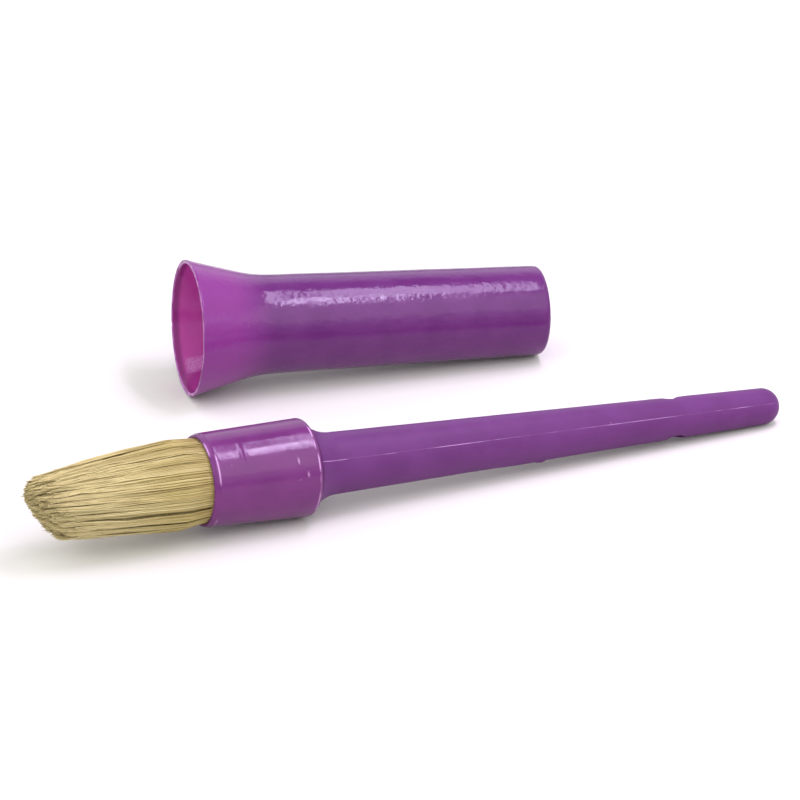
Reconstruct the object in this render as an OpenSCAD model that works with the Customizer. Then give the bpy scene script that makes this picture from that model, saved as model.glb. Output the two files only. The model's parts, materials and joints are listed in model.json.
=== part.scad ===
// Round bristle brush with a tapered handle, a moulded ferrule and a flared slip-on cap.
// The brush lies on the table on its ferrule and its handle end, tip towards -X.
// The cap lies beside it on its mouth and its closed end.

/* [Handle] */
// Length of the handle from the back of the ferrule to its rounded end
handle_len = 165.6; // [130:0.1:200]
// Diameter of the handle where the neck curve ends
neck_d = 19.6; // [16:0.1:21.5]
// Diameter of the handle at its rounded end
end_d = 11.8; // [9:0.1:15]
// Diameter of the collar that seats on the back of the ferrule
collar_d = 26.8; // [24:0.1:27]
// Height of the collar's straight edge
collar_edge = 0.4; // [0.2:0.1:1.5]
// Radius of the hollow curve from the collar to the neck
neck_curve_r = 12.5; // [8:0.5:18]
// Diameter of the hole that the brush hangs by
hang_hole_d = 5.6; // [4:0.1:7.5]
// Distance from the handle's end to the centre of the hanging hole
hang_hole_from_end = 38; // [16:1:50]
// Diameter of the moulding gate's stub under the handle
gate_d = 2.4; // [1:0.1:4]
// Height of the moulding gate's stub
gate_h = 0.4; // [0.2:0.1:1]
// Distance from the handle's end to the gate's stub
gate_from_end = 86; // [60:1:110]

/* [Handle spigot] */
// Diameter of the spigot that goes through the back of the ferrule
spigot_d = 15; // [10:0.5:18]
// How far the snap head stands out past the spigot, on the radius
snap_catch = 0.7; // [0.3:0.1:1.5]
// Length of the snap head
snap_len = 4; // [2:0.5:6]

/* [Ferrule] */
// Outer diameter of the ferrule at its mouth
ferrule_mouth_d = 29.4; // [26:0.1:34]
// Outer diameter of the ferrule at its shoulder
ferrule_shoulder_d = 31; // [30:0.1:36]
// Length of the ferrule's straight, drafted side
ferrule_side_len = 34.5; // [28:0.1:45]
// Radius of the rounded shoulder
shoulder_r = 1.9; // [1:0.1:2]
// Thickness of the ferrule's wall at its mouth
ferrule_wall = 1.4; // [1:0.1:2.5]
// Depth of the pocket that holds the bristles
pocket_depth = 30; // [25:0.5:34]
// Bevel on both edges of the ferrule's mouth
lip_bevel = 0.4; // [0.1:0.05:0.6]

/* [Bristles] */
// Length of the bristles outside the ferrule
tuft_len = 57.5; // [40:0.5:75]
// Diameter of the tuft at its fullest
tuft_belly_d = 28.8; // [26:0.1:29.5]
// Distance from the ferrule over which the tuft swells to its fullest
tuft_swell_len = 10; // [5:1:20]
// Bluntness of the tuft's domed tip
tip_bluntness = 4.6; // [2:0.1:8]
// Depth of the layer of resin that sets the bristle roots
resin_len = 11; // [8:0.5:14]
// Diameter of the plug in the middle of the bristle roots
plug_d = 10; // [6:0.5:14]
// Distance of the plug's front face from the ferrule's mouth
plug_inset = 4; // [2:0.5:8]
// Depth that the plug stands in the resin
plug_seat = 3; // [1:0.5:4]

/* [Cap] */
// Length of the cap
cap_len = 119.4; // [105:0.1:150]
// Thickness of the cap's wall
cap_wall = 1.2; // [0.8:0.1:2]
// Outer diameter of the cap's mouth
cap_mouth_d = 44.7; // [40:0.1:52]
// Length of the flared mouth
flare_len = 22.4; // [15:0.1:30]
// Softness of the bend between the flare and the tube
throat_blend = 0.6; // [0.2:0.1:2]
// Outer diameter of the cap's closed end
cap_end_d = 29.5; // [28:0.1:33]
// Radius of the edge round the closed end
cap_end_edge_r = 1.6; // [0.5:0.1:3]
// How far the throat slides over the ferrule before it grips
grip_depth = 16; // [8:1:24]

/* [Fits] */
// Radial clearance between the cap's throat and the ferrule at the grip
cap_clearance = 0; // [0:0.05:0.3]
// Radial and end clearance of the handle's spigot in the ferrule
spigot_clearance = 0.05; // [0:0.01:0.2]
// Gap between the bristle roots and the free tuft
tuft_gap = 0.1; // [0.05:0.05:0.3]

/* [Layout on the table] */
// Roll of the brush as it lies, its hanging hole leaning towards the cap
brush_roll = 30; // [0:1:90]
// Distance along the brush from the ferrule's mouth to the cap's mouth
cap_along = 36.4; // [0:0.1:80]
// Distance across the table from the brush's axis to the cap's mouth
cap_across = 97.8; // [75:0.1:140]
// Turn of the cap on the table against the brush
cap_yaw = -8.5; // [-20:0.5:10]

/* [Hidden] */
$fn = 96;
// Past a cut's face, so that no skin is left
cut = 1;

mouth_r = ferrule_mouth_d / 2;
shoulder_out_r = ferrule_shoulder_d / 2;
ferrule_len = ferrule_side_len + shoulder_r;
pocket_r = mouth_r - ferrule_wall;
spigot_r = spigot_d / 2;
snap_r = spigot_r + snap_catch;

neck_r = neck_d / 2;
end_r = end_d / 2;
collar_r = collar_d / 2;
brush_end = ferrule_len + handle_len;
end_ball_at = brush_end - end_r;
neck_at = ferrule_len + collar_edge
        + sqrt(pow(neck_curve_r, 2) - pow(neck_r + neck_curve_r - collar_r, 2));
hang_hole_at = brush_end - hang_hole_from_end;
gate_at = brush_end - gate_from_end;

resin_front = pocket_depth - resin_len;
plug_back = resin_front + plug_seat;
belly_r = tuft_belly_d / 2;
tuft_steps = 24;

cap_mouth_r = cap_mouth_d / 2;
cap_end_r = cap_end_d / 2;
throat_in_r = ferrule_side_r(grip_depth) + cap_clearance;
throat_r = throat_in_r + cap_wall;
blend_steps = 14;

// The brush rests on its shoulder and its end ball, the cap on its mouth and its end edge
brush_tilt = rest_tilt(end_ball_at - ferrule_side_len, shoulder_out_r - shoulder_r, shoulder_r - end_r);
cap_tilt = rest_tilt(cap_len - cap_end_edge_r, cap_mouth_r - cap_end_r + cap_end_edge_r, -cap_end_edge_r);
mouth_up = (shoulder_out_r - shoulder_r) * cos(brush_tilt) + shoulder_r
         + ferrule_side_len * sin(brush_tilt);
cap_mouth_up = cap_mouth_r * cos(cap_tilt);

// The origin is under the middle of everything
cap_reach = cap_mouth_r * sqrt(1 - pow(sin(cap_yaw) * cos(cap_tilt), 2));
brush_x = (tuft_len * cos(brush_tilt) - end_ball_at * cos(brush_tilt) - end_r) / 2;
brush_y = (shoulder_out_r - cap_across - cap_reach) / 2;

// Tilt at which two round seats, one of them wider, touch the table together
function rest_tilt(span, drop, lift) = asin(lift / norm([span, drop])) + atan2(drop, span);

// Outer radius of the ferrule's side at a distance from its mouth
function ferrule_side_r(at) = mouth_r + (shoulder_out_r - mouth_r) * at / ferrule_side_len;

// Radius of the tapered handle at a distance from the ferrule's mouth
function handle_r(at) = neck_r + (end_r - neck_r) * (at - neck_at) / (end_ball_at - neck_at);

// Radius of the tuft at a distance from the ferrule's mouth
function swell(at) = min(1, at / tuft_swell_len) * (2 - min(1, at / tuft_swell_len));
function tuft_r(at) = (pocket_r + (belly_r - pocket_r) * swell(at))
                    * sqrt(max(0, 1 - pow(at / tuft_len, tip_bluntness)));

// Outer radius of the cap at a distance from its mouth: a drafted tube, and a flare that fades into it
function tube_r(at) = throat_r + (cap_end_r - throat_r) * (at - flare_len) / (cap_len - flare_len);
function soft_ramp(x) = throat_blend * ln(1 + exp(x / throat_blend));
function cap_r(at) = tube_r(at) + soft_ramp((cap_mouth_r - tube_r(0)) * (1 - at / flare_len));

// Distances from the cap's mouth at which its outline has a point
cap_stations = concat([0], [for (i = [0:blend_steps]) flare_len * (0.5 + i / blend_steps)]);

module on_brush() {
    translate([brush_x, brush_y, mouth_up])
        rotate([0, 90 + brush_tilt, 0]) rotate([0, 0, -brush_roll]) children();
}

module on_cap() {
    translate([brush_x + cap_along, brush_y + cap_across, cap_mouth_up])
        rotate([0, 0, cap_yaw]) rotate([0, 90 + cap_tilt, 0]) children();
}

// Half outline of the handle with its collar, spigot and snap head
module handle_outline() {
    polygon([
        [0, ferrule_len], [neck_r, ferrule_len], [neck_r, neck_at],
        [end_r, end_ball_at], [0, end_ball_at]
    ]);
    intersection() {
        translate([0, end_ball_at]) circle(end_r);
        translate([0, end_ball_at - cut]) square([end_r, end_r + cut]);
    }
    difference() {
        polygon([
            [0, ferrule_len], [collar_r, ferrule_len], [collar_r, ferrule_len + collar_edge],
            [neck_r, neck_at], [0, neck_at]
        ]);
        translate([neck_r + neck_curve_r, neck_at]) circle(neck_curve_r);
    }
    spigot_outline(0);
}

// Half outline of the spigot and its snap head, grown by a clearance
module spigot_outline(grow) {
    head_back = pocket_depth - spigot_clearance;
    translate([0, head_back - snap_len - grow])
        square([spigot_r + grow, ferrule_len - head_back + snap_len + grow]);
    polygon([
        [0, head_back - snap_len - grow], [spigot_r + grow, head_back - snap_len - grow],
        [snap_r + grow, head_back], [0, head_back]
    ]);
}

module handle() {
    color("mediumorchid") on_brush() difference() {
        union() {
            rotate_extrude() handle_outline();
            translate([0, 0, gate_at]) rotate([0, 90, 0])
                cylinder(d = gate_d, h = handle_r(gate_at) + gate_h);
        }
        translate([-neck_d / 2, 0, hang_hole_at]) rotate([0, 90, 0])
            cylinder(d = hang_hole_d, h = neck_d);
    }
}

module ferrule() {
    color("darkorchid") on_brush() rotate_extrude() difference() {
        union() {
            polygon([
                [0, 0], [mouth_r - lip_bevel, 0], [ferrule_side_r(lip_bevel), lip_bevel],
                [shoulder_out_r, ferrule_side_len], [0, ferrule_side_len]
            ]);
            square([shoulder_out_r - shoulder_r, ferrule_len]);
            translate([shoulder_out_r - shoulder_r, ferrule_side_len]) circle(shoulder_r);
        }
        translate([0, -cut]) square([pocket_r, pocket_depth + cut]);
        polygon([[0, -cut], [pocket_r + lip_bevel + cut, -cut], [pocket_r, lip_bevel], [0, lip_bevel]]);
        square([spigot_r + spigot_clearance, ferrule_len + cut]);
    }
}

module core_plug() {
    color("burlywood") on_brush() translate([0, 0, plug_inset])
        cylinder(d = plug_d, h = plug_back - plug_inset);
}

module setting_resin() {
    color("saddlebrown") on_brush() difference() {
        translate([0, 0, resin_front]) cylinder(r = pocket_r, h = resin_len);
        translate([0, 0, resin_front - cut]) cylinder(d = plug_d, h = plug_seat + cut);
        rotate_extrude() spigot_outline(spigot_clearance);
    }
}

module bristle_roots() {
    color("khaki") on_brush() difference() {
        cylinder(r = pocket_r, h = resin_front);
        translate([0, 0, plug_inset]) cylinder(d = plug_d, h = resin_front);
    }
}

module bristle_tuft() {
    color("palegoldenrod") on_brush() rotate_extrude() polygon(concat(
        [[0, -tuft_gap]],
        [for (i = [0:tuft_steps]) let (at = tuft_gap + (tuft_len - tuft_gap) * sin(90 * i / tuft_steps))
            [tuft_r(at), -at]]
    ));
}

// Half outline of the cap's outer shape
module cap_outline() {
    polygon(concat(
        [[0, 0]],
        [for (at = cap_stations) [cap_r(at), at]],
        [[cap_end_r, cap_len - cap_end_edge_r], [0, cap_len - cap_end_edge_r]]
    ));
    square([cap_end_r - cap_end_edge_r, cap_len]);
    translate([cap_end_r - cap_end_edge_r, cap_len - cap_end_edge_r]) circle(cap_end_edge_r);
}

// Half outline of the space inside the cap
module cap_hollow() {
    polygon(concat(
        [[0, -cut], [cap_mouth_r - cap_wall, -cut]],
        [for (at = cap_stations) [cap_r(at) - cap_wall, at]],
        [[cap_end_r - cap_wall, cap_len - cap_wall], [0, cap_len - cap_wall]]
    ));
}

module cap() {
    color("orchid") on_cap() rotate_extrude() difference() {
        cap_outline();
        cap_hollow();
    }
}

handle();
ferrule();
core_plug();
setting_resin();
bristle_roots();
bristle_tuft();
cap();
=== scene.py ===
"""A stout round bristle brush and the cap that was pulled off it, finished for rendering.

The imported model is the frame: it fixes where the brush and the cap lie and which body each
piece moves with. Every outer piece is turned again here with the wear and moulding marks of
the real thing, and the bristles are grown by Geometry Nodes.

Lengths in the classes are in millimetres, and turns about a piece's own axis are in degrees.
"""

import json
import logging
import math
from collections.abc import Callable, Mapping, Sequence
from dataclasses import dataclass, field
from enum import Enum

import bmesh
import bpy
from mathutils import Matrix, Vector, noise


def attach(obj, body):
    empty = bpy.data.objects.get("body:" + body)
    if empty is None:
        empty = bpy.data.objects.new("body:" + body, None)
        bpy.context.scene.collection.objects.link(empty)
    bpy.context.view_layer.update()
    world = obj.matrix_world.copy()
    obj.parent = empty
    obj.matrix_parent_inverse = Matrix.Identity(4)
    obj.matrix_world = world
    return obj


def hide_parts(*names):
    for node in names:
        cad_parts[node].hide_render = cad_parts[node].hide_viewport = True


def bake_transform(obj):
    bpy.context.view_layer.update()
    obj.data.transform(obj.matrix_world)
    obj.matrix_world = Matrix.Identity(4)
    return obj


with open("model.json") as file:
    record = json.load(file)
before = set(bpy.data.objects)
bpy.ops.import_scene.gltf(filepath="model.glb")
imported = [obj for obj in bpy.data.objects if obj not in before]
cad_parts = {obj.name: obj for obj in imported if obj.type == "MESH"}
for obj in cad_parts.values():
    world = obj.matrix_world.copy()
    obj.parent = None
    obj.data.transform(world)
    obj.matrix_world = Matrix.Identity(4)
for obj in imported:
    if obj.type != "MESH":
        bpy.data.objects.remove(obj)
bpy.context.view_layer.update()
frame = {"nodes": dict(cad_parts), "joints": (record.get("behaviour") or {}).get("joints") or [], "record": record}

MM = 0.001
GOLDEN_TURN = 2.39996323
LAVENDER = (1.0, 0.82, 1.2)

log = logging.getLogger("brush")

Colour = tuple[float, float, float]


# Node trees


class Field:
    """One output of a node, so that sums on it read as sums."""

    def __init__(self, graph: "Graph", socket: bpy.types.NodeSocket) -> None:
        """Wraps a socket of the graph's tree."""
        self.graph = graph
        self.socket = socket

    def __add__(self, other: "Field | float") -> "Field":
        """Sum."""
        return self.graph.math("ADD", self, other)

    def __sub__(self, other: "Field | float") -> "Field":
        """Difference."""
        return self.graph.math("SUBTRACT", self, other)

    def __rsub__(self, other: float) -> "Field":
        """Difference from a number."""
        return self.graph.math("SUBTRACT", other, self)

    def __mul__(self, other: "Field | float") -> "Field":
        """Product."""
        return self.graph.math("MULTIPLY", self, other)

    def __truediv__(self, other: "Field | float") -> "Field":
        """Quotient."""
        return self.graph.math("DIVIDE", self, other)

    def __pow__(self, power: float) -> "Field":
        """Power."""
        return self.graph.math("POWER", self, power)

    __radd__ = __add__
    __rmul__ = __mul__


class Graph:
    """Adds nodes to one shader or geometry tree and wires them as they are made."""

    def __init__(self, tree: bpy.types.NodeTree) -> None:
        """Takes the tree that nodes are added to."""
        self.tree = tree

    def node(
        self, kind: str, feeds: Mapping[str, object] | None = None, **settings: object
    ) -> bpy.types.Node:
        """Adds a node.

        Args:
            kind: The node's Blender type.
            feeds: What goes into its inputs, by socket name: a Field, or a plain value.
            settings: Properties of the node, set before its inputs.

        Returns:
            The new node.
        """
        made = self.tree.nodes.new(kind)
        for name, value in settings.items():
            setattr(made, name, value)
        for name, value in (feeds or {}).items():
            socket = self.pick(made.inputs, name)
            if isinstance(value, Field):
                self.tree.links.new(value.socket, socket)
            else:
                socket.default_value = value
        return made

    @staticmethod
    def pick(sockets: Sequence[bpy.types.NodeSocket], name: str) -> bpy.types.NodeSocket:
        """The socket in use that has this name."""
        return next(s for s in sockets if s.enabled and s.name == name)

    def out(self, node: bpy.types.Node, name: str) -> Field:
        """A node's named output as a Field."""
        return Field(self, self.pick(node.outputs, name))

    def math(self, operation: str, *values: "Field | float") -> Field:
        """A Math node on one to three values."""
        made = self.tree.nodes.new("ShaderNodeMath")
        made.operation = operation
        for socket, value in zip(made.inputs, values):
            if isinstance(value, Field):
                self.tree.links.new(value.socket, socket)
            else:
                socket.default_value = value
        return Field(self, made.outputs[0])

    def vector(
        self, operation: str, *values: "Field | Sequence[float]", scale: "Field | float | None" = None
    ) -> Field:
        """A Vector Math node. scale feeds the Scale socket, for the operation that has it."""
        made = self.tree.nodes.new("ShaderNodeVectorMath")
        made.operation = operation
        for socket, value in zip(made.inputs, values):
            if isinstance(value, Field):
                self.tree.links.new(value.socket, socket)
            else:
                socket.default_value = value
        if isinstance(scale, Field):
            self.tree.links.new(scale.socket, made.inputs["Scale"])
        elif scale is not None:
            made.inputs["Scale"].default_value = scale
        name = "Value" if operation in ("LENGTH", "DOT_PRODUCT", "DISTANCE") else "Vector"
        return self.out(made, name)

    def xyz(self, x: "Field | float", y: "Field | float", z: "Field | float") -> Field:
        """A vector from its three parts."""
        return self.out(self.node("ShaderNodeCombineXYZ", {"X": x, "Y": y, "Z": z}), "Vector")

    def parts(self, vector: Field) -> tuple[Field, Field, Field]:
        """A vector's three parts."""
        made = self.node("ShaderNodeSeparateXYZ", {"Vector": vector})
        return self.out(made, "X"), self.out(made, "Y"), self.out(made, "Z")

    def fade(self, value: Field, start: float, end: float, low: float = 0.0, high: float = 1.0) -> Field:
        """Eases from low to high while value goes from start to end, and holds outside them."""
        made = self.node(
            "ShaderNodeMapRange",
            {"Value": value, "From Min": start, "From Max": end, "To Min": low, "To Max": high},
            interpolation_type="SMOOTHSTEP",
        )
        return self.out(made, "Result")

    def mix(self, amount: "Field | float", first: "Field | Colour", second: "Field | Colour") -> Field:
        """A colour between two others."""
        feeds = {
            "Factor": amount,
            "A": first if isinstance(first, Field) else (*first, 1),
            "B": second if isinstance(second, Field) else (*second, 1),
        }
        return self.out(self.node("ShaderNodeMix", feeds, data_type="RGBA"), "Result")

    def grain(self, vector: Field, scale: float, detail: float = 2.0, name: str = "Fac") -> Field:
        """Noise on a vector, from 0 to 1."""
        feeds = {"Vector": vector, "Scale": scale, "Detail": detail}
        return self.out(self.node("ShaderNodeTexNoise", feeds), name)


class Mark(Enum):
    """Numbers that a mesh keeps at its points for its material to read."""

    # Some of these place painted light and shade: on edges, at the cap's flare, rim and inner wall, and in a
    # joint's crease.
    SEAM = "seam"
    INSIDE = "inside"
    FLARE_LIGHT = "flare"
    PAINTED_SHADE = "band"
    PATCH_LIGHT = "patch_light"
    RIM_HIGHLIGHT = "rim"
    TONE = "tone"
    REACH = "reach"


@dataclass(frozen=True)
class Spine:
    """The centre line that a round piece is turned about.

    mouth is the middle of its open end, along points to its other end, and up is square to it.
    """

    mouth: Vector
    along: Vector
    up: Vector

    @property
    def side(self) -> Vector:
        """The direction a quarter turn from up."""
        return self.along.cross(self.up)

    def place(self, at: float, radius: float, turn: float) -> Vector:
        """The point in the row frame, in metres, of a distance, radius and turn on this line."""
        out = self.up * math.cos(turn) + self.side * math.sin(turn)
        return self.mouth + (self.along * at + out * radius) * MM


@dataclass(frozen=True)
class Station:
    """One corner of a turned outline: where it is, and whether it is on the inner wall."""

    at: float
    radius: float
    inner: bool = False


@dataclass(frozen=True)
class HighlightAndScratch:
    """A pale line over some turns, a painted highlight on an edge and a scratch on the side: its place, turns and
    strength.
    """

    at: float
    start: float
    end: float
    strength: float
    width: float = 0.2

    def strength_at(self, at: float, turn: float) -> float:
        """How strong the line is at a point, fading at both its ends."""
        across = math.exp(-(((at - self.at) / self.width) ** 2))
        inward = min(turn - self.start, self.end - turn) / 6
        return self.strength * across * max(0.0, min(1.0, inward))


@dataclass(frozen=True)
class Bump:
    """A small raised or sunk mark: its place, its height and how far it spreads each way."""

    at: float
    turn: float
    height: float
    reach_along: float
    reach_across: float

    def height_at(self, at: float, turn: float, radius: float) -> float:
        """How high the mark stands at a point of a surface of that radius."""
        round_way = (turn - self.turn + 180) % 360 - 180
        across = math.radians(round_way) * radius / self.reach_across
        along = (at - self.at) / self.reach_along
        squared = across * across + along * along
        return self.height * math.exp(-squared) if squared < 9 else 0.0


def arc(at: float, radius: float, bend: float, start: float, end: float, steps: int) -> list[Station]:
    """Corners along an arc of an outline.

    Args:
        at: Where the arc's centre is along the axis.
        radius: The centre's distance from the axis.
        bend: The arc's own radius.
        start: The first angle in degrees, 0 outward from the axis and 90 towards the far end.
        end: The last angle.
        steps: How many pieces the arc is cut into.

    Returns:
        The corners from start to end.
    """
    angles = [math.radians(start + (end - start) * i / steps) for i in range(steps + 1)]
    return [Station(at + bend * math.sin(a), radius + bend * math.cos(a)) for a in angles]


def even(first: Station, last: Station, pitch: float) -> list[Station]:
    """Corners between two others, not counting them, no further apart than the pitch."""
    span = math.hypot(last.at - first.at, last.radius - first.radius)
    count = max(1, math.ceil(span / pitch))
    return [
        Station(
            first.at + (last.at - first.at) * i / count,
            first.radius + (last.radius - first.radius) * i / count,
            first.inner,
        )
        for i in range(1, count)
    ]


def ripple(place: Vector, size: float, seed: float = 0.0) -> float:
    """Smooth noise from about -1 to 1 with lumps of that size, from a place in millimetres."""
    return noise.noise(place / size + Vector((seed, seed * 1.7, -seed)))


def turned(
    name: str,
    spine: Spine,
    outline: Sequence[Station],
    turns: Sequence[float],
    relief: Callable[[Station, float], tuple[float, float]],
    marks: Mapping[Mark, Callable[[Station, float], float]],
) -> bpy.types.Object:
    """Turns a closed outline about a line into a shell with relief on it.

    Args:
        name: The piece's name.
        spine: The line it is turned about.
        outline: The corners in order. One that lies on the axis becomes a single point.
        turns: The columns' angles in degrees.
        relief: Gives how far a point moves outward and along the axis.
        marks: What the mesh keeps at each point, by mark.

    Returns:
        The smooth, closed piece with its faces outward.
    """
    shape = bmesh.new()
    layers = {mark: shape.verts.layers.float.new(mark.value) for mark in marks}

    def corner(station: Station, turn: float) -> bmesh.types.BMVert:
        out, on = relief(station, turn)
        vert = shape.verts.new(spine.place(station.at + on, station.radius + out, math.radians(turn)))
        for mark, rule in marks.items():
            vert[layers[mark]] = rule(station, turn)
        return vert

    rows = [
        [corner(s, 0.0)] if s.radius == 0 else [corner(s, t) for t in turns]
        for s in outline
    ]
    count = len(turns)
    on_axis = outline[0].radius == 0 and outline[-1].radius == 0
    pairs = list(zip(rows, rows[1:])) + ([] if on_axis else [(rows[-1], rows[0])])
    for low, high in pairs:
        for i in range(count):
            j = (i + 1) % count
            ring = [low[i % len(low)], low[j % len(low)], high[j % len(high)], high[i % len(high)]]
            shape.faces.new(list(dict.fromkeys(ring)))
    bmesh.ops.recalc_face_normals(shape, faces=shape.faces)
    for face in shape.faces:
        face.smooth = True
    mesh = bpy.data.meshes.new(name)
    shape.to_mesh(mesh)
    shape.free()
    piece = bpy.data.objects.new(name, mesh)
    bpy.context.scene.collection.objects.link(piece)
    return piece


def columns(count: int, fine_at: Sequence[float] = (), fine: Sequence[float] = ()) -> list[float]:
    """Column angles in degrees, even all round, with finer ones each side of some of them."""
    step = 360 / count
    turns = [i * step for i in range(count)]
    near = max(fine, default=0)
    kept = [t for t in turns if all(abs((t - f + 180) % 360 - 180) > near + 0.3 * step for f in fine_at)]
    extra = [(f + sign * d) % 360 for f in fine_at for d in (0, *fine) for sign in ((1, -1) if d else (1,))]
    return sorted(kept + extra)


def frozen(piece: bpy.types.Object) -> bpy.types.Mesh:
    """The plain mesh that a piece's modifiers make of it."""
    return bpy.data.meshes.new_from_object(piece.evaluated_get(bpy.context.evaluated_depsgraph_get()))


def finish_piece(piece: bpy.types.Object, body: str, slot: str, *nodes: str) -> None:
    """Attaches a piece to its body, hides the nodes it stands for, and reports it."""
    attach(piece, body)
    hand_over(piece, slot, *nodes)


def hand_over(piece: bpy.types.Object, slot: str, *nodes: str) -> None:
    """Hides the nodes a piece stands for, and reports it."""
    if nodes:
        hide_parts(*nodes)
    log.info("%s: %d faces", piece.name, len(piece.data.polygons))


def angle_gap(turn: float, other: float) -> float:
    """The size of the turn between two angles in degrees."""
    return abs((turn - other + 180) % 360 - 180)


# Finishes


def open_material(name: str) -> tuple[Graph, bpy.types.Node]:
    """A new material's graph and its shader."""
    material = bpy.data.materials.new(name)
    material.use_nodes = True
    return Graph(material.node_tree), material.node_tree.nodes["Principled BSDF"]


def object_place(graph: Graph) -> Field:
    """Object coordinates in millimetres."""
    coordinates = graph.out(graph.node("ShaderNodeTexCoord"), "Object")
    return graph.vector("SCALE", coordinates, scale=1 / MM)


def attribute(graph: Graph, mark: Mark) -> Field:
    """A number that the mesh keeps at its points."""
    return graph.out(graph.node("ShaderNodeAttribute", attribute_name=mark.value), "Fac")


class MouldingMarks:
    """The shared group that gives moulded plastic its mottle, its skin and its scuffs."""

    NAME = "moulding_marks"

    @classmethod
    def tree(cls) -> bpy.types.NodeTree:
        """The group, made when it is first asked for."""
        found = bpy.data.node_groups.get(cls.NAME)
        if found:
            return found
        tree = bpy.data.node_groups.new(cls.NAME, "ShaderNodeTree")
        tree.interface.new_socket("Place", in_out="INPUT", socket_type="NodeSocketVector")
        for name in ("Mottle", "Skin", "Scuffs", "Lumps"):
            tree.interface.new_socket(name, in_out="OUTPUT", socket_type="NodeSocketFloat")
        graph = Graph(tree)
        place = graph.out(graph.node("NodeGroupInput"), "Place")
        mottle = graph.grain(place, 0.11, 3.0)
        skin = graph.grain(place, 2.2, 3.0)
        lumps = graph.grain(place, 0.45, 1.0)
        specks = graph.node(
            "ShaderNodeTexVoronoi", {"Vector": place, "Scale": 0.22, "Randomness": 1.0}
        )
        dots = graph.fade(graph.out(specks, "Distance"), 0.05, 0.09, 1.0, 0.0)
        rare = graph.fade(graph.grain(place, 0.07, 0.0), 0.66, 0.7)
        stretched = graph.vector("MULTIPLY", place, (0.35, 1.6, 1.6))
        threads = graph.fade(graph.grain(stretched, 1.1, 4.0), 0.70, 0.76)
        scuffs = graph.math("MAXIMUM", dots * rare * 0.7, threads * 0.4)
        end = graph.node("NodeGroupOutput")
        for name, value in (("Mottle", mottle), ("Skin", skin), ("Scuffs", scuffs), ("Lumps", lumps)):
            tree.links.new(value.socket, end.inputs[name])
        return tree


@dataclass(frozen=True)
class Plastic:
    """Moulded plastic with a mottled colour, a fine skin and scuffs.

    deep and bright are its two mottled colours and scuffed its colour where it is rubbed.
    """

    name: str
    deep: Colour
    bright: Colour
    scuffed: Colour
    gloss: float
    dull: float
    skin: float
    lumps: float
    shine: float = 0.35
    scatter: float = 0.0

    def material(self) -> bpy.types.Material:
        """The plain finish."""
        graph, shader = open_material(self.name)
        self.dress(graph, shader, self.colour(graph))
        return bpy.data.materials[self.name]

    def marks(self, graph: Graph) -> bpy.types.Node:
        """The moulding marks on this piece, made once in each material."""
        found = graph.tree.nodes.get("Marks")
        if found:
            return found
        made = graph.node("ShaderNodeGroup", node_tree=MouldingMarks.tree(), name="Marks")
        graph.tree.links.new(object_place(graph).socket, made.inputs["Place"])
        return made

    def colour(self, graph: Graph) -> Field:
        """The mottled and scuffed colour."""
        marks = self.marks(graph)
        mottle = graph.fade(graph.out(marks, "Mottle"), 0.3, 0.7)
        mixed = graph.mix(mottle, self.deep, self.bright)
        return graph.mix(graph.out(marks, "Scuffs") * 0.6, mixed, self.scuffed)

    def dress(self, graph: Graph, shader: bpy.types.Node, colour: Field) -> None:
        """Wires a colour, the roughness and the skin into the shader.

        Args:
            graph: The material's graph.
            shader: Its Principled shader.
            colour: The colour over the surface.
        """
        marks = self.marks(graph)
        rough = graph.fade(graph.out(marks, "Mottle"), 0.3, 0.75, self.gloss, self.dull)
        rough = rough + graph.out(marks, "Scuffs") * 0.25
        height = graph.out(marks, "Skin") * self.skin + graph.out(marks, "Lumps") * self.lumps
        bump = graph.node("ShaderNodeBump", {"Height": height, "Distance": MM, "Strength": 1.0})
        links = graph.tree.links
        links.new(colour.socket, shader.inputs["Base Color"])
        links.new(rough.socket, shader.inputs["Roughness"])
        links.new(bump.outputs["Normal"], shader.inputs["Normal"])
        shader.inputs["IOR"].default_value = 1.5
        shader.inputs["Specular IOR Level"].default_value = self.shine
        shader.inputs["Subsurface Weight"].default_value = self.scatter
        shader.inputs["Subsurface Radius"].default_value = (1.0, 0.35, 0.9)
        shader.inputs["Subsurface Scale"].default_value = 1.2 * MM


@dataclass(frozen=True)
class SeamedPlastic(Plastic):
    """Plastic with paler lines, which start and stop: flash on a parting line, and painted highlights and pale
    scratches on edges.

    broken is the noise's low and high end, between which a line fades in. The darkest colour is painted shade,
    laid into the crease of a joint where the mesh marks it.
    """

    # Pale lines: flash on a parting line, and painted highlights where the mesh marks edges.
    flash: Colour = (0.75, 0.45, 0.8)
    broken: tuple[float, float] = (0.42, 0.66)
    # Painted shade for the crease of a joint.
    crease_shade: Colour = (0.05, 0.008, 0.05)

    def colour(self, graph: Graph) -> Field:
        """The mottled colour with the broken pale line over it, and painted shade in a marked joint."""
        base = super().colour(graph)
        place = object_place(graph)
        shown = graph.fade(graph.grain(place, 0.09, 3.0), *self.broken, 0.06, 0.75)
        # Pale lines where the mesh marks them: flash on a seam, painted highlights on edges.
        lined = graph.mix(attribute(graph, Mark.SEAM) * shown, base, self.flash)
        # Painted shade darkens the joint's crease where the mesh marks it.
        return graph.mix(attribute(graph, Mark.PAINTED_SHADE), lined, self.crease_shade)


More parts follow.
